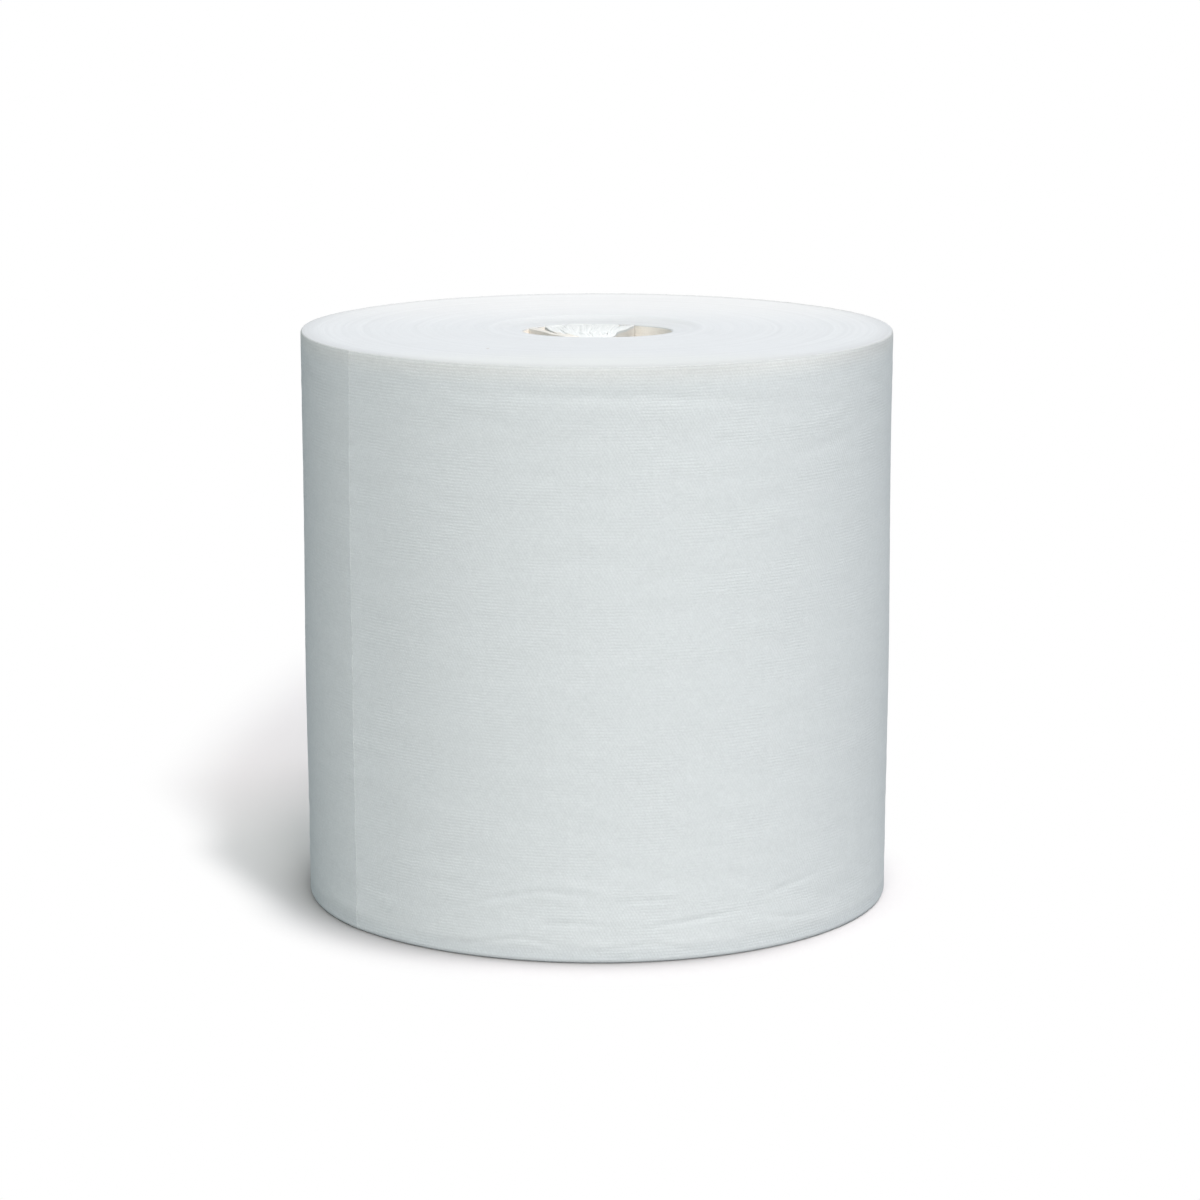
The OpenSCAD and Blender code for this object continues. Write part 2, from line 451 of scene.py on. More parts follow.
class Sum:
    """A number in a material, wrapped so that shader maths reads as a plain expression."""

    def __init__(self, recipe, socket):
        self.recipe = recipe
        self.socket = socket

    def math(self, operation, *terms):
        made = self.recipe.add("ShaderNodeMath", {"operation": operation}, dict(enumerate(terms)))
        return Sum(self.recipe, made.outputs[0])

    def __add__(self, other):
        return self.math("ADD", self, other)

    def __sub__(self, other):
        return self.math("SUBTRACT", self, other)

    def __rsub__(self, other):
        return self.math("SUBTRACT", other, self)

    def __mul__(self, other):
        return self.math("MULTIPLY", self, other)

    def __truediv__(self, other):
        return self.math("DIVIDE", self, other)

    def __rtruediv__(self, other):
        return self.math("DIVIDE", other, self)

    def __pow__(self, other):
        return self.math("POWER", self, other)

    def __rpow__(self, other):
        return self.math("POWER", other, self)

    def __neg__(self):
        return self * -1

    __radd__ = __add__
    __rmul__ = __mul__

    def exponential(self):
        return self.math("EXPONENT", self)

    def cosine(self):
        return self.math("COSINE", self)

    def absolute(self):
        return self.math("ABSOLUTE", self)

    def fraction(self):
        return self.math("FRACT", self)

    def angle_from(self, other):
        return self.math("ARCTAN2", self, other)

    def between(self, low, high):
        """0 at low and 1 at high, with a smooth rise between them."""
        made = self.recipe.add(
            "ShaderNodeMapRange", {"interpolation_type": "SMOOTHSTEP"},
            {"Value": self, "From Min": low, "From Max": high})
        return Sum(self.recipe, made.outputs["Result"])


class Recipe:
    """Builds the nodes of one material, or of the world."""

    def __init__(self, owner):
        self.owner = owner
        self.owner.use_nodes = True
        self.tree = self.owner.node_tree
        self.tree.nodes.clear()

    def add(self, kind, settings=None, inputs=None):
        """A node of this kind, with its settings first and then the values or links of its sockets."""
        node = self.tree.nodes.new(kind)
        for name, value in (settings or {}).items():
            setattr(node, name, value)
        for name, value in (inputs or {}).items():
            if isinstance(value, Sum):
                value = value.socket
            if isinstance(value, bpy.types.NodeSocket):
                self.tree.links.new(value, node.inputs[name])
            else:
                node.inputs[name].default_value = value
        return node

    def position(self):
        """Where a point of the surface lies in the roll's frame: its vector, and x, y and z."""
        vector = self.add("ShaderNodeTexCoord").outputs["Object"]
        parts = self.add("ShaderNodeSeparateXYZ", inputs={"Vector": vector}).outputs
        return vector, *(Sum(self, part) for part in parts)

    def vector(self, x, y, z):
        return self.add("ShaderNodeCombineXYZ", inputs={"X": x, "Y": y, "Z": z}).outputs[0]

    def noise(self, vector, scale, detail=2.0, roughness=0.5):
        """Smooth noise from 0 to 1 at this vector."""
        made = self.add("ShaderNodeTexNoise", inputs={
            "Vector": vector, "Scale": scale, "Detail": detail, "Roughness": roughness})
        return Sum(self, made.outputs["Fac"])

    def line_noise(self, value, scale, detail=2.0):
        """Smooth noise from 0 to 1 along one number."""
        made = self.add("ShaderNodeTexNoise", {"noise_dimensions": "1D"}, {
            "W": value, "Scale": scale, "Detail": detail})
        return Sum(self, made.outputs["Fac"])

    def blend(self, share, first, second):
        """Colour between first and second, by share."""
        made = self.add("ShaderNodeMix", {"data_type": "RGBA"}, {0: share, 6: first, 7: second})
        return made.outputs[2]

    def tint(self, color, share):
        """Colour scaled by share."""
        if isinstance(color, tuple):
            color = color[:3]
        made = self.add("ShaderNodeVectorMath", {"operation": "SCALE"}, {0: color, "Scale": share})
        return made.outputs[0]

    def bump(self, height, distance, strength=1.0):
        made = self.add("ShaderNodeBump", inputs={
            "Height": height, "Distance": distance, "Strength": strength})
        return made.outputs[0]

    def seen_by_camera(self):
        """1 for what the camera sees directly, and 0 for the light that the surface gives."""
        return Sum(self, self.add("ShaderNodeLightPath").outputs["Is Camera Ray"])

    def mix(self, share, first, second):
        """Shader between first and second, by share."""
        made = self.add("ShaderNodeMixShader", inputs={0: share, 1: first, 2: second})
        return made.outputs[0]

    def finish(self, color, normal, roughness, sheen=0.0):
        """Ends the material in a matte cloth surface."""
        shader = self.add("ShaderNodeBsdfPrincipled", inputs={
            "Base Color": color, "Roughness": roughness, "Normal": normal,
            "Specular IOR Level": 0.2, "Sheen Weight": sheen, "Sheen Roughness": 0.6})
        self.add("ShaderNodeOutputMaterial", inputs={"Surface": shader.outputs[0]})
        return self.owner


def new_material(name):
    return Recipe(bpy.data.materials.new(name))


CLOTH_ROUGHNESS = 0.95


def opaque(color):
    """The colour with its alpha, as a colour socket takes it."""
    return (*color, 1.0)


def embossed_pattern(recipe, along, z, waver, finish, sizes):
    """Height of the embossed dimples: in staggered rows, and in places and by the rim in plain rows."""
    row_phase = z / finish.row_pitch + waver * 0.9
    dimple_phase = along / finish.dimple_pitch + waver * 0.6
    rows = (row_phase * FULL_TURN).cosine()
    staggered = (dimple_phase * FULL_TURN).cosine() * (row_phase * math.pi).cosine()
    patches = recipe.noise(recipe.vector(along * 0.6, z, 0.0), 62.0, detail=1.0)
    in_rows = patches.between(0.44, 0.60)
    by_rim = z.between(sizes.height - 34 * MM, sizes.height - 10 * MM)
    in_rows = in_rows + by_rim * (1.0 - in_rows) * 0.6
    return rows * (0.20 + in_rows * 0.45) + staggered * (0.70 - in_rows * 0.30)


def web_face_finish(finish, sizes):
    """Face of the nonwoven web: embossed rows of dimples, fibres and a faint mottle, with painted light and
    shade.
    """
    recipe = new_material("nonwoven_face")
    _, x, y, z = recipe.position()
    along = y.angle_from(x) * sizes.radius
    flat = recipe.vector(along, z, 0.0)
    cloud = recipe.noise(flat, 95.0, detail=3.0)
    waver = recipe.noise(flat, 240.0, detail=3.0)
    fibres = recipe.noise(recipe.vector(along * 0.5, z, 0.0), 1150.0, detail=3.0, roughness=0.7)
    pattern = embossed_pattern(recipe, along, z, waver, finish, sizes)
    emboss = pattern * (0.45 + cloud * 0.7) + (fibres - 0.5) * 2.6
    normal = recipe.bump(emboss, 0.070 * MM, 0.6)

    streaks = recipe.noise(recipe.vector(along * 0.22, z, 0.0), 75.0, detail=2.0)
    speckle = recipe.noise(flat, 900.0, detail=2.0, roughness=0.7)
    tufts = recipe.noise(flat, 330.0, detail=2.0)
    mottle_and_painted_shade = 1.0 + (streaks - 0.5) * 0.045 + (cloud - 0.5) * 0.055 + (tufts - 0.5) * 0.11
    mottle_and_painted_shade = mottle_and_painted_shade + pattern * 0.016 + (speckle - 0.5) * 0.16
    # Painted shade: the web is painted a little darker on the turned upper edge, and on a narrow band above the
    # foot
    mottle_and_painted_shade = mottle_and_painted_shade - z.between(sizes.height - 1.7 * MM, sizes.height - 0.9 * MM) * 0.19
    mottle_and_painted_shade = mottle_and_painted_shade - z.between(1 * MM, 3 * MM) * (1.0 - z.between(7 * MM, 12 * MM)) * 0.07
    # Painted light: it is painted a little lighter just past its outer end, where it stands off the turn under
    # it
    painted_light_past_end = 1.0 - ((along / sizes.radius - sizes.end_angle) / FULL_TURN).fraction().between(0.0, 0.045)

    by_rim = z.between(sizes.height - 13 * MM, sizes.height - 1 * MM)
    by_foot = 1.0 - z.between(2 * MM, 12 * MM)
    wall, behind_wall = sizes.eye_radius + 1 * MM, sizes.eye_radius + 4 * MM
    in_eye = 1.0 - (x * x + y * y).between(wall ** 2, behind_wall ** 2)
    # Painted light: lighter and warmer just under the upper rim
    color = recipe.blend(by_rim * 0.8, opaque(finish.face_color), opaque(finish.rim_color))
    # Painted shade: cooler by the foot
    color = recipe.blend(by_foot * 0.5, color, opaque(finish.foot_painted_shade))
    # Painted light: creamy and bright deep in the eye
    color = recipe.blend(in_eye, color, opaque(finish.depth_painted_light))
    color = recipe.tint(color, mottle_and_painted_shade + painted_light_past_end * painted_light_past_end * 0.045)
    return recipe.finish(color, normal, CLOTH_ROUGHNESS)


# Place in plan of the small speck of dirt on the upper end, and the radii between which it fades out
SPECK = (-58 * MM, -89 * MM)
SPECK_RADII = (0.5 * MM, 1.3 * MM)


def web_edge_finish(finish, sizes):
    """Wound edges on the ends: hundreds of fine turns, a little uneven, with painted light and shade, and one
    small speck of dirt.
    """
    recipe = new_material("wound_edges")
    vector, x, y, z = recipe.position()
    radius = (x * x + y * y) ** 0.5
    sway = recipe.noise(vector, 14.0, detail=1.0)
    turn = (y.angle_from(x) - sizes.end_angle) / FULL_TURN
    reach = radius - turn * (1.1 * MM) + (sway - 0.5) * (2.5 * MM)
    fine = recipe.line_noise(reach, 1500.0, detail=2.0)
    coarse = recipe.line_noise(reach, 260.0, detail=2.0)
    fluff = recipe.noise(vector, 1300.0, detail=3.0, roughness=0.65)
    normal = recipe.bump(fine * 0.7 + coarse * 0.8 + fluff * 0.5, 0.10 * MM, 0.5)
    patches = recipe.noise(vector, 26.0, detail=2.0)
    mottle_and_painted_shade = 1.0 + (fine - 0.5) * 0.05 + (coarse - 0.5) * 0.07
    mottle_and_painted_shade = mottle_and_painted_shade + (patches - 0.5) * 0.05 + (fluff - 0.5) * 0.06
    # Painted shade: the ends are painted darker towards their outer rim
    mottle_and_painted_shade = mottle_and_painted_shade - radius.between(sizes.radius - 12 * MM, sizes.radius - 1.2 * MM) * 0.11
    # Painted light: the upper end is painted whiter towards its back
    color = recipe.blend(y.between(0.0, 115 * MM), opaque(finish.edge_color), opaque(finish.back_painted_light))
    color = recipe.blend((-y).between(95 * MM, 145 * MM), color, opaque(finish.front_color))
    # Painted shade: the sunken ring behind the upper end's eye is painted darker
    in_ring = 1.0 - radius.between(
        sizes.eye_radius + 0.8 * sizes.dish_width, sizes.eye_radius + 1.15 * sizes.dish_width)
    behind = (y / radius).between(-0.15, 1.05) * (z / sizes.height).between(0.5, 0.6)
    color = recipe.blend(in_ring * behind, color, opaque(finish.ring_painted_shade))
    color = recipe.tint(color, mottle_and_painted_shade)
    off_x = x - SPECK[0]
    off_y = y - SPECK[1]
    speck = 1.0 - ((off_x * off_x + off_y * off_y) ** 0.5).between(*SPECK_RADII)
    color = recipe.blend(speck * 0.5, color, opaque(finish.speck_color))
    return recipe.finish(color, normal, CLOTH_ROUGHNESS, sheen=0.08)


def gathered_finish(finish, sizes, gather):
    """The loose inner end: white at its upper edge, and painted creamy light deep in the eye."""
    recipe = new_material("gathered_web")
    vector, x, y, z = recipe.position()
    cloud = recipe.noise(vector, 160.0, detail=3.0)
    fibres = recipe.noise(vector, 2300.0, detail=3.0, roughness=0.65)
    rows = (z / finish.row_pitch * FULL_TURN).cosine()
    normal = recipe.bump(rows * 0.2 + fibres * 0.5 + cloud * 0.5, 0.04 * MM, 0.15)
    # Painted light: the web lower down in the eye is painted creamy
    deep = (gather_top(sizes, gather, y) - z).between(0.7 * MM, 2.2 * MM)
    # The first run of web lies by the wall, and takes the same creamy painted light
    path, headings, _ = gather_path(sizes, gather)
    root_x, root_y = (float(value) for value in path[0])
    outward_x, outward_y = math.sin(headings[0]), -math.cos(headings[0])
    beyond = (x - root_x) * outward_x + (y - root_y) * outward_y
    by_wall = beyond.between(-4.6 * MM, -2.8 * MM) * (-y).between(-30 * MM, -4 * MM)
    deep = deep + (1.0 - deep) * by_wall
    color = recipe.blend(deep, opaque(finish.gather_color), opaque(finish.depth_painted_light))
    # Painted shade: the gathered web is painted lighter at the front, darker towards the back, and darker by
    # the wall
    color = recipe.tint(color, 1.02 + (cloud - 0.5) * 0.04 - y / (35 * MM) * 0.09 - by_wall * 0.10)
    return recipe.finish(color, normal, CLOTH_ROUGHNESS)


def rim_arc(count, start, stop):
    """Cosines and sines of an arc of a rounded rim, from start to stop in degrees."""
    angles = np.radians(np.linspace(start, stop, count))
    return np.cos(angles), np.sin(angles)


def last_turn_profile(sizes):
    """Section of the last turn's outer face, from its upper inner edge down: insets and heights."""
    top_r = sizes.top_round
    inner_edge = math.degrees(math.acos(1 - sizes.lap / top_r))
    cos_top, sin_top = rim_arc(6, inner_edge, 0)
    cos_foot, sin_foot = rim_arc(11, 0, -84)
    rim_low, foot_high = sizes.height - 26 * MM, 46 * MM
    side = np.concatenate([
        np.linspace(sizes.height - top_r, rim_low, 25)[1:],
        np.linspace(rim_low, foot_high, 99)[1:],
        np.linspace(foot_high, sizes.foot_round, 58)[1:-1]])
    inset = np.concatenate([
        top_r * (1 - cos_top), np.zeros(len(side)), sizes.foot_round * (1 - cos_foot)])
    height = np.concatenate([
        sizes.height - top_r * (1 - sin_top), side, sizes.foot_round * (1 + sin_foot)])
    return inset, height


# Turns from an end of the last turn to the columns of points that lie close to it
NEAR_END = np.array([0.0, 0.0004, 0.0010, 0.0020, 0.0034, 0.0052, 0.0074])
# Heights of the rows of the hidden inner face of the last turn, in millimetres
INNER_LEVELS = np.array([0.4, 6, 14, 24, 34, 60, 100, 150, 200, 240, 270, 290, 305])


def outer_face(web, turn):
    """Points of the outer face of the last turn, row by row from its upper edge down."""
    sizes = web.sizes
    inset, height = (part[:, None] for part in last_turn_profile(sizes))
    angle = sizes.end_angle + turn * FULL_TURN
    radius = web.last_turn_radius(turn) - inset + web.relief(turn, height) + web.end_ridge(turn, height)
    edge_slip = 0.06 * MM * web.slack.at(angle, 0.0) - 0.04 * MM
    level = height + edge_slip * smooth_step(height, sizes.height - 12 * MM, sizes.height)
    level = np.maximum(level, 0.02 * MM)
    # The web is perforated, so its torn outer end is a little ragged
    ragged = np.random.default_rng(21).uniform(-1, 1, height.shape[0])[:, None]
    angle = angle + 0.15 * MM / sizes.radius * ragged * smooth_step(turn, 0.9985, 1.0)
    return np.stack([radius * np.cos(angle), radius * np.sin(angle), level + 0 * radius], axis=-1)


def inner_face(web, turn):
    """Points of the hidden inner face, a little more than a lap inside the outer one, from the foot up."""
    sizes = web.sizes
    angle = sizes.end_angle + turn * FULL_TURN
    level = INNER_LEVELS[:, None] * MM
    radius = web.last_turn_radius(turn) - 1.5 * sizes.lap + web.relief(turn, level)
    radius = radius - sizes.foot_round * 0.8 * (level < 5 * MM)
    return np.stack([radius * np.cos(angle), radius * np.sin(angle), level + 0 * radius], axis=-1)


def build_last_turn(web, finish):
    """The last turn of the web as a thin closed shell, from under its outer end right round to that end."""
    columns = 450
    middle = np.linspace(0.01, 0.99, columns - 2 * len(NEAR_END))
    turn = np.concatenate([NEAR_END, middle, 1 - NEAR_END[::-1]])[None, :]
    rows = np.concatenate([outer_face(web, turn), inner_face(web, turn)])
    total = len(rows)
    last = (total - 1) * columns
    faces = [tuple(quad) for quad in join_grid(total, columns)[:, ::-1]]
    faces += [(c, c + 1, last + c + 1, last + c) for c in range(columns - 1)]
    faces.append([row * columns for row in range(total)])
    faces.append([row * columns + columns - 1 for row in range(total)][::-1])
    return make_object("last_turn", rows.reshape(-1, 3), faces, [web_face_finish(finish, web.sizes)])


# Materials of the wound turns: the web's face on the wall of the eye, and its wound edges on the ends
FACE, ENDS = 0, 1


def build_wound_turns(web, finish):
    """The turns under the last one: both ends, with their spiral of turns, and the wall of the eye."""
    sizes = web.sizes
    columns = 420
    turn = np.concatenate([np.linspace(0, 1 - 1 / columns, columns), [0.9999]])[None, :]
    columns += 1
    angle = sizes.end_angle + turn * FULL_TURN
    # The last turn lies on this piece, and hides its side
    behind_lap, near_rim = 0.92 * sizes.lap, sizes.height - 0.5 * MM
    rim = web.last_turn_radius(turn) - behind_lap
    rim = rim + web.relief(turn, near_rim) + web.end_ridge(turn, near_rim)
    rim_start = rim - (sizes.top_round - behind_lap)
    lip = 0.8 * MM
    hidden = 4 * MM
    wall_wave, wall = 0.12 * MM, Ripples(16, 14, (2, 12), (30 * MM, 120 * MM))
    lip_r = sizes.eye_radius + 0 * angle
    rows = []

    def row(radius, level, slot):
        rows.append((radius + 0 * angle, level + 0 * angle, slot))

    # The wall of the eye from the foot up, its rounded lip, and the upper end out to its rounded rim
    lip_level = web.top(lip_r + lip, angle)
    for share in np.linspace(0, 1, 26) ** 0.8:
        z = lip + share * (lip_level - 2 * lip)
        row(lip_r + wall_wave * wall.at(angle, z) * smooth_step(share, 0, 0.1), z, FACE)
    for cosine, sine in zip(*rim_arc(4, 60, 0)):
        row(lip_r + lip * (1 - sine), lip_level - lip * (1 - cosine), ENDS)
    for share in np.linspace(0, 1, 112)[1:]:
        r = lip_r + lip + share * (rim - lip_r - lip)
        bend = np.clip((r - rim_start) / sizes.top_round, 0, 1)
        row(r, web.top(r, angle) - sizes.top_round * (1 - np.sqrt(1 - bend ** 2)), ENDS)

    # The side that the last turn hides, and the lower end
    row(rim - hidden, sizes.height - hidden, ENDS)
    row(rim - hidden, sizes.foot_round, ENDS)
    row(rim - sizes.foot_round * 0.9, 0.8 * MM, ENDS)
    foot_r = rim - sizes.foot_round
    for share in np.linspace(0, 1, 66):
        r = foot_r + share * (lip_r + lip - foot_r)
        groove = web.turn_grooves(r, angle, sizes.eye_radius + 5 * MM)
        row(r, groove * smooth_step(share, 0, 0.03), ENDS)

    points = np.stack([
        np.stack([r * np.cos(angle), r * np.sin(angle), z], axis=-1)[0] for r, z, _ in rows])
    last_row = np.arange(columns) + (len(rows) - 1) * columns
    first_row = np.arange(columns)
    after = (first_row + 1) % columns
    closing = np.stack([last_row, last_row[after], first_row[after], first_row], axis=-1)
    faces = np.concatenate([join_grid(len(rows), columns, closed=True), closing])
    slots = np.repeat([slot for _, _, slot in rows[1:]] + [ENDS], columns)
    materials = [web_face_finish(finish, sizes), web_edge_finish(finish, sizes)]
    return make_object("wound_turns", points.reshape(-1, 3), faces, materials, slots)


class Stop(NamedTuple):
    """A fold that the gathered web goes round, or an end of the web, which is a fold of no radius."""

    centre: np.ndarray
    radius: float
    # 1 where the web goes round to the left, or -1
    way: int
    thickness: float

    def point(self, heading):
        """Where the web's middle line passes this fold with this heading."""
        return self.centre + self.way * self.radius * np.array([math.sin(heading), -math.cos(heading)])


def gather_stops(sizes, gather):
    """The folds of the gathered web, from its root on the wall of the eye to its free end."""
    front_place = sizes.eye_radius - gather.wall_gap - gather.front_slit / 2 - gather.front_thickness
    back_place = sizes.eye_radius - gather.wall_gap - gather.back_slit / 2 - gather.back_thickness
    front_half = gather.front_slit / 2 + gather.front_thickness
    back_half = gather.back_slit / 2 + gather.back_thickness
    front_step = 2 * math.asin((front_half + gather.front_gap / 2) / front_place)
    back_step = 2 * math.asin((back_half + gather.back_gap / 2) / back_place)
    end_reach = gather.back_slit / 2 + gather.back_gap + gather.back_thickness * 1.5
    end_step = math.asin(end_reach / back_place)
    # Directions of the middle of the folds at the front of the eye, and at the back
    front_angle, back_angle = math.radians(259.5), math.radians(108)

    def front(number):
        centre = place(front_angle + number * front_step, front_place)
        return Stop(centre, (gather.front_slit + gather.front_thickness) / 2, 1, gather.front_thickness)

    def back(number):
        centre = place(back_angle - number * back_step, back_place)
        return Stop(centre, (gather.back_slit + gather.back_thickness) / 2, -1, gather.back_thickness)

    root = place(back_angle + back_step + end_step, sizes.eye_radius + 1.5 * MM)
    free_place = sizes.eye_radius - gather.wall_gap - gather.back_thickness / 2
    free = place(back_angle - back_step - end_step, free_place)
    return [
        Stop(root, 0.0, 1, gather.back_thickness),
        front(-1.5), back(-1), front(-0.5), back(0), front(0.5), back(1), front(1.5),
        Stop(free, 0.0, 1, gather.back_thickness),
    ]


def run_heading(start, stop):
    """Heading of the straight run of web from one stop to the next."""
    apart = stop.centre - start.centre
    sine = (start.way * start.radius - stop.way * stop.radius) / np.hypot(*apart)
    run = math.sqrt(1 - sine * sine) * unit(apart) - sine * left_of(unit(apart))
    return math.atan2(run[1], run[0])


def gather_path(sizes, gather):
    """Middle line of the gathered web in plan, fold by fold: points, headings and thickness."""
    stops = gather_stops(sizes, gather)
    runs = [run_heading(*pair) for pair in zip(stops, stops[1:])]
    points, headings, thickness = [], [], []

    def add(point, heading, thick):
        points.append(point)
        headings.append(heading)
        thickness.append(thick)

    for i, heading in enumerate(runs):
        start, stop = stops[i], stops[i + 1]
        first, last = start.point(heading), stop.point(heading)
        for share in np.linspace(0, 1, 24):
            thick = start.thickness + share * (stop.thickness - start.thickness)
            add(first + share * (last - first), heading, thick)
        if i + 1 < len(runs):
            sweep = stop.way * ((stop.way * (runs[i + 1] - heading)) % FULL_TURN)
            for step in np.linspace(0, 1, 10)[1:-1]:
                turned = heading + sweep * step
                add(stop.point(turned), turned, stop.thickness)
    return np.array(points), np.array(headings), np.array(thickness)


# How far the upper edge of each ply lies below the highest, in millimetres, and the rounding of that edge
PLY_DROPS = (0.1, 0.2, 0.0, 0.15)
PLY_ROUND = 0.34 * MM
# Depths of the rows of points of a ply below its upper edge, in millimetres
PLY_DEPTHS = (0, 0.05, 0.16, 0.34, 0.6, 1.2, 2.2, 3.6, 5.5, 8, 11, 15, 20, 27, 36, 60, 110, 170, 240)


def ply_grid(sizes, gather, ply, travelled):
    """Points of both sides of one ply of the gathered web, in rows that run along it."""
    path, headings, thickness = gather_path(sizes, gather)
    normal = np.stack([-np.sin(headings), np.cos(headings)], axis=-1)
    # The first run stays slim at the back, so that the slit beside it shows
    filled = smooth_step(travelled, 32 * MM, 58 * MM)
    share = (ply + 0.5) / gather.plies - 0.5
    tall = sizes.height - gather.lift
    edge = gather_top(sizes, gather, path[:, 1]) - PLY_DROPS[ply % len(PLY_DROPS)] * MM
    edge += 0.12 * MM * np.sin(travelled / (8.3 * MM) + 2.1 * ply)
    edge += 0.3 * MM * np.sin(travelled / (21 * MM) + 0.5 * ply)
    depths = [depth * MM for depth in PLY_DEPTHS] + [tall]
    rows = []
    for side in (1, -1):
        for below in depths[::-side]:
            near_top = 1 - smooth_step(below, 0, 26 * MM)
            width = thickness * (1 + gather.fluff * filled * near_top)
            cap = math.sqrt(1 - (1 - min(below / PLY_ROUND, 1)) ** 2)
            half = width / gather.plies * (0.36 + 0.26 * near_top) * cap
            plan = path + normal * (width * share + side * half)[:, None]
            level = edge - below * (edge - gather.lift) / tall
            plan = plan + crumple(plan, level, near_top, gather.sway)
            rows.append(np.column_stack([plan, level]))
    return np.array(rows)


def ply_faces(rows, count, first):
    """Faces of a closed ply whose points start at first: its sides, its foot and its two ends."""
    last_row = first + (rows - 1) * count + np.arange(count)
    first_row = first + np.arange(count)
    foot = np.stack([last_row[:-1], last_row[1:], first_row[1:], first_row[:-1]], axis=-1)
    faces = [tuple(quad) for quad in np.concatenate([join_grid(rows, count, first), foot])[:, ::-1]]
    for column, turned in ((0, 1), (count - 1, -1)):
        for row in range(rows // 2 - 1):
            quad = (row, row + 1, rows - 2 - row, rows - 1 - row)
            faces.append(tuple(first + k * count + column for k in quad)[::turned])
    return faces


def build_gathered_end(web, gather, finish):
    """The loose inner end of the web, gathered in the eye, and the length of its folded path."""
    sizes = web.sizes
    path = gather_path(sizes, gather)[0]
    travelled = np.concatenate([[0], np.cumsum(np.hypot(*np.diff(path, axis=0).T))])
    points, faces = [], []
    for ply in range(gather.plies):
        grid = ply_grid(sizes, gather, ply, travelled)
        rows, count = grid.shape[:2]
        faces += ply_faces(rows, count, ply * rows * count)
        points.append(grid.reshape(-1, 3))
    material = gathered_finish(finish, sizes, gather)
    piece = make_object("gathered_end", np.concatenate(points), faces, [material])
    return piece, travelled[-1]


def gather_top(sizes, gather, y):
    """Height of the upper edge of the gathered web this far towards the back: it leans down to the back."""
    return sizes.height - 0.4 * gather.drop - (y + sizes.eye_radius) * math.tan(sizes.dish_lean)


def crumple(plan, level, near_top, sway):
    """Sideways shift of the gathered web at these points, which grows to about sway at its upper edge."""
    x, y = plan[:, 0], plan[:, 1]
    reach = (0.12 + 0.88 * near_top) * sway
    along_x = 0.75 * np.sin(y / (9 * MM) + level / (13 * MM))
    along_x += 0.4 * np.sin(y / (4.6 * MM) - x / (15 * MM) + 0.8)
    along_y = 0.5 * np.sin(x / (11 * MM) + level / (17 * MM) + 1.9)
    return np.column_stack([along_x, along_y]) * reach


class WIPER_OT_wound_roll(bpy.types.Operator):
    """Makes the wound turns and the last turn of the web"""

    bl_idname = "wiper.wound_roll"
    bl_label = "Wound roll"

    def execute(self, context):
        web = Web(context.scene.wiper_roll)
        finish = context.scene.wiper_finish
        turns = build_wound_turns(web, finish)
        dress(turns, TURNS_NODE)
        last = build_last_turn(web, finish)
        dress(last, TURNS_NODE)
        sizes = web.sizes
        around = FULL_TURN * (sizes.radius - sizes.lap / 2)
        return {"FINISHED"}


class WIPER_OT_gathered_end(bpy.types.Operator):
    """Makes the loose inner end of the web, gathered in the eye"""

    bl_idname = "wiper.gathered_end"
    bl_label = "Gathered inner end"

    def execute(self, context):
        web = Web(context.scene.wiper_roll)
        gather = context.scene.wiper_gather
        piece, length = build_gathered_end(web, gather, context.scene.wiper_finish)
        dress(piece, END_NODE)
        return {"FINISHED"}


WHITE = (1, 1, 1, 1)
# Colour of the floor as it is seen, and as it throws light back on the roll
FLOOR_COLOR = (0.95, 0.915, 0.905)
FLOOR_BOUNCE_COLOR = (0.40, 0.40, 0.40, 1)
# Radius at which the rounded foot of the roll meets the floor
FOOT_RADIUS = 161.5 * MM


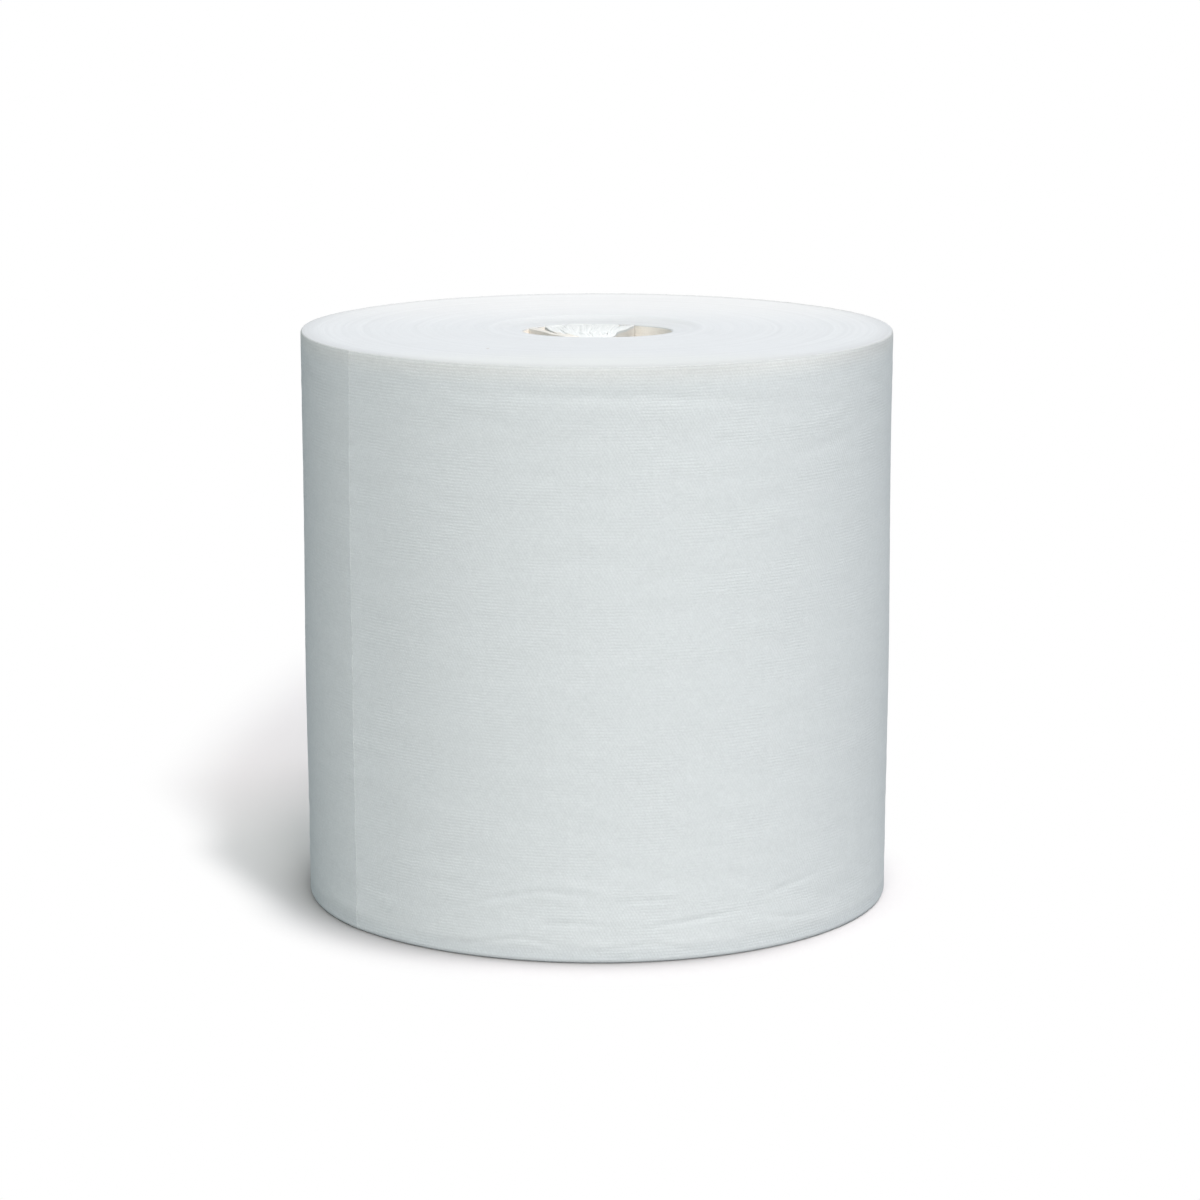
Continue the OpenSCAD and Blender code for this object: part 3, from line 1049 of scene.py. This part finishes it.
def build_floor():
    """A plain pale floor that keeps the roll's shadow, with some painted shadow near it, and turns to plain
    white further out.
    """
    half = 9.0
    points = [(-half, -half, 0), (half, -half, 0), (half, half, 0), (-half, half, 0)]
    recipe = new_material("studio_floor")
    _, x, y, _ = recipe.position()
    on_left = (-x).between(40 * MM, 130 * MM)
    on_right = x.between(40 * MM, 160 * MM)
    shadow_side = y.between(-50 * MM, 90 * MM) * (-x).between(-90 * MM, 100 * MM)
    behind = y.between(80 * MM, 260 * MM) * shadow_side

    # Painted shadow: the floor is painted darker close to the edge of the foot, less so on the right
    from_foot = ((x * x + y * y) ** 0.5 - FOOT_RADIUS).absolute()
    painted_contact_shadow = (-from_foot / (10 * MM + on_left * (8 * MM))).exponential()
    painted_contact_shadow = painted_contact_shadow * (0.50 - on_left * 0.02 - on_right * 0.42)
    # Painted shadow: the seen floor is also painted a little darker in the shadow behind and to the left
    seen = recipe.add("ShaderNodeBsdfPrincipled", inputs={
        "Base Color": recipe.tint(FLOOR_COLOR, 1.0 - painted_contact_shadow - behind * 0.07),
        "Roughness": 1.0, "Specular IOR Level": 0.0})
    bounce = recipe.add("ShaderNodeBsdfDiffuse", inputs={"Color": FLOOR_BOUNCE_COLOR})
    lit = recipe.mix(recipe.seen_by_camera(), bounce.outputs[0], seen.outputs[0])

    # The shadow falls to the left and the back, so the floor turns white further out there
    shorter = y * (1.0 - shadow_side * 0.7)
    reach = (x * x + shorter * shorter) ** 0.5
    low = shadow_side * (42 * MM) + behind * (22 * MM) - on_right * (14 * MM) + 171 * MM
    width = 38 * MM - shadow_side * (2 * MM) + behind * (30 * MM)
    far = ((reach - low) / width).between(0.0, 1.0)
    white = recipe.add("ShaderNodeEmission", inputs={"Color": WHITE, "Strength": 1.0})
    surface = recipe.mix(recipe.seen_by_camera() * far, lit, white.outputs[0])
    recipe.add("ShaderNodeOutputMaterial", inputs={"Surface": surface})
    floor = make_object("floor", points, [(0, 1, 2, 3)], [recipe.owner])


def build_world(strength, color):
    """Soft studio light from all round, which the camera sees as plain white."""
    recipe = Recipe(bpy.data.worlds.new("studio"))
    light = recipe.add("ShaderNodeBackground", inputs={"Color": opaque(color), "Strength": strength})
    white = recipe.add("ShaderNodeBackground", inputs={"Color": WHITE})
    surface = recipe.mix(recipe.seen_by_camera(), light.outputs[0], white.outputs[0])
    recipe.add("ShaderNodeOutputWorld", inputs={"Surface": surface})
    bpy.context.scene.world = recipe.owner


# Soft far lamps: name, degrees to the right of the front, degrees above the floor, strength, softness in
# degrees, and colour
SUNS = [
    ("key_light", 60, 68, 0.328 * math.pi, 30, (1.03, 0.94, 0.97)),
    ("front_light", 0, 32, 0.468 * math.pi, 30, (1.04, 1.0, 0.945)),
    ("side_light", 30, 50, 0.159 * math.pi, 30, (0.93, 0.99, 1.08)),
    ("rear_light", 162, 10, 0.12 * math.pi, 40, (0.98, 1.0, 1.02)),
]


def build_sun(name, from_front, elevation, strength, softness, color):
    """A soft far lamp: its direction is degrees to the right of the front, and degrees above the floor."""
    data = bpy.data.lights.new(name, "SUN")
    data.energy = strength
    data.angle = math.radians(softness)
    data.color = color
    lamp = bpy.data.objects.new(name, data)
    bpy.context.scene.collection.objects.link(lamp)
    way = FRONT + math.radians(from_front)
    rise = math.radians(elevation)
    towards = Vector((math.cos(way) * math.cos(rise), math.sin(way) * math.cos(rise), math.sin(rise)))
    lamp.rotation_mode = "QUATERNION"
    lamp.rotation_quaternion = towards.to_track_quat("Z", "Y")
    lamp.location = towards * 3


def build_panel(name, centre, target, size, power, color):
    """A square soft lamp near the roll, turned towards the point target."""
    data = bpy.data.lights.new(name, "AREA")
    data.energy = power
    data.size = size
    data.color = color
    lamp = bpy.data.objects.new(name, data)
    bpy.context.scene.collection.objects.link(lamp)
    lamp.location = centre
    lamp.rotation_mode = "QUATERNION"
    lamp.rotation_quaternion = (Vector(centre) - Vector(target)).to_track_quat("Z", "Y")


def build_camera(stage):
    """The camera at the photograph's viewing angle."""
    data = bpy.data.cameras.new("camera")
    data.lens = stage.lens
    data.sensor_width = 36
    camera = bpy.data.objects.new("camera", data)
    bpy.context.scene.collection.objects.link(camera)
    camera.location = (stage.camera_shift, -stage.camera_distance, stage.camera_height)
    camera.rotation_euler = (math.pi / 2 - stage.camera_pitch, 0, 0)
    bpy.context.scene.camera = camera


class WIPER_OT_stage(bpy.types.Operator):
    """Makes the floor, the studio light and the camera"""

    bl_idname = "wiper.stage"
    bl_label = "Stage"

    def execute(self, context):
        build_floor()
        build_world(0.315, (0.84, 1.04, 1.11))
        for sun in SUNS:
            build_sun(*sun)
        build_panel("back_light", (0, 0.50, 0.80), (0, 0, 0.25), 0.5, 0.46, (1.2, 1.05, 0.94))
        build_camera(context.scene.wiper_stage)
        context.scene.view_settings.view_transform = "Standard"
        return {"FINISHED"}


class WIPER_PT_panel(bpy.types.Panel):
    """Sizes, colours and pieces of the wiper roll"""

    bl_idname = "WIPER_PT_panel"
    bl_label = "Wiper roll"
    bl_space_type = "VIEW_3D"
    bl_region_type = "UI"
    bl_category = "Wiper roll"

    def draw(self, context):
        for name in GROUPS:
            box = self.layout.box()
            group = getattr(context.scene, name)
            for setting in group.bl_rna.properties:
                if setting.identifier not in ("name", "rna_type"):
                    box.prop(group, setting.identifier)
        for operator in OPERATORS:
            self.layout.operator(operator.bl_idname)


GROUPS = {
    "wiper_roll": RollSizes,
    "wiper_gather": GatherSizes,
    "wiper_finish": WebFinish,
    "wiper_stage": StageSettings,
}
OPERATORS = (WIPER_OT_wound_roll, WIPER_OT_gathered_end, WIPER_OT_stage)


def register():
    for cls in (*GROUPS.values(), *OPERATORS, WIPER_PT_panel):
        bpy.utils.register_class(cls)
    for name, group in GROUPS.items():
        setattr(bpy.types.Scene, name, PointerProperty(type=group))


def unregister():
    for name in GROUPS:
        delattr(bpy.types.Scene, name)
    for cls in (WIPER_PT_panel, *reversed(OPERATORS), *reversed(GROUPS.values())):
        bpy.utils.unregister_class(cls)


def main():
    register()
    bpy.ops.wiper.wound_roll()
    bpy.ops.wiper.gathered_end()
    bpy.ops.wiper.stage()


if __name__ == "__main__":
    main()
